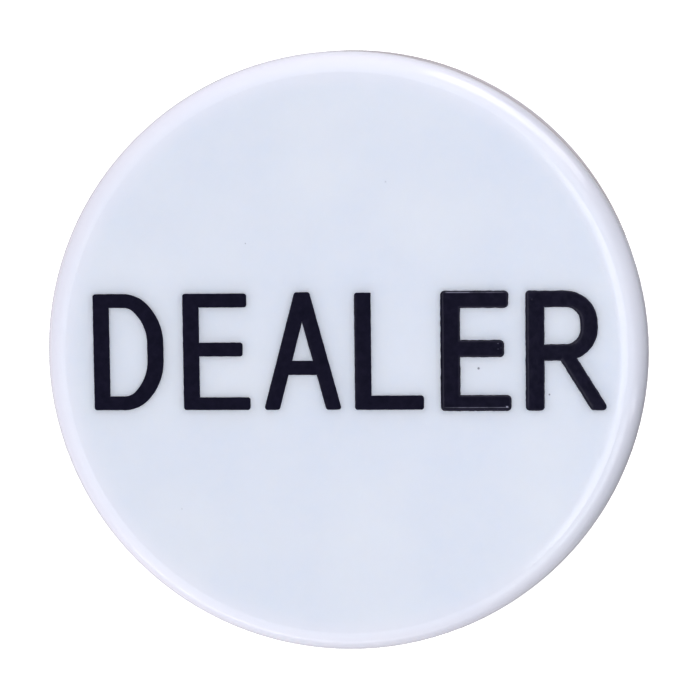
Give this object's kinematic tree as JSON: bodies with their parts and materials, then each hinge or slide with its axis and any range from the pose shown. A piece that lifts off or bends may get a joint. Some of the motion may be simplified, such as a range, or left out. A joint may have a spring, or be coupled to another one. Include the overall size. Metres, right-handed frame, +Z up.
{
  "type": "dealer button",
  "caption": "Round solid acrylic dealer button with rounded edges and engraved, enamel-filled block lettering on both faces, for marking the dealer's seat.",
  "frame": {"origin": "centre of the lower face, on the surface that the button rests on", "axes": "+Z up, out of the front face; +X along the front word's direction of reading; +Y towards the top of its letters"},
  "size_m": [0.0762, 0.0762, 0.02],
  "materials": {
    "white_acrylic": "gloss",
    "black_enamel": "gloss"
  },
  "bodies": {
    "root": {"puck_body": "white_acrylic", "front_enamel_1_d": "black_enamel", "front_enamel_2_e": "black_enamel", "front_enamel_3_a": "black_enamel", "front_enamel_4_l": "black_enamel", "front_enamel_5_e": "black_enamel", "front_enamel_6_r": "black_enamel", "back_enamel_1_d": "black_enamel", "back_enamel_2_e": "black_enamel", "back_enamel_3_a": "black_enamel", "back_enamel_4_l": "black_enamel", "back_enamel_5_e": "black_enamel", "back_enamel_6_r": "black_enamel"}
  },
  "joints": []
}
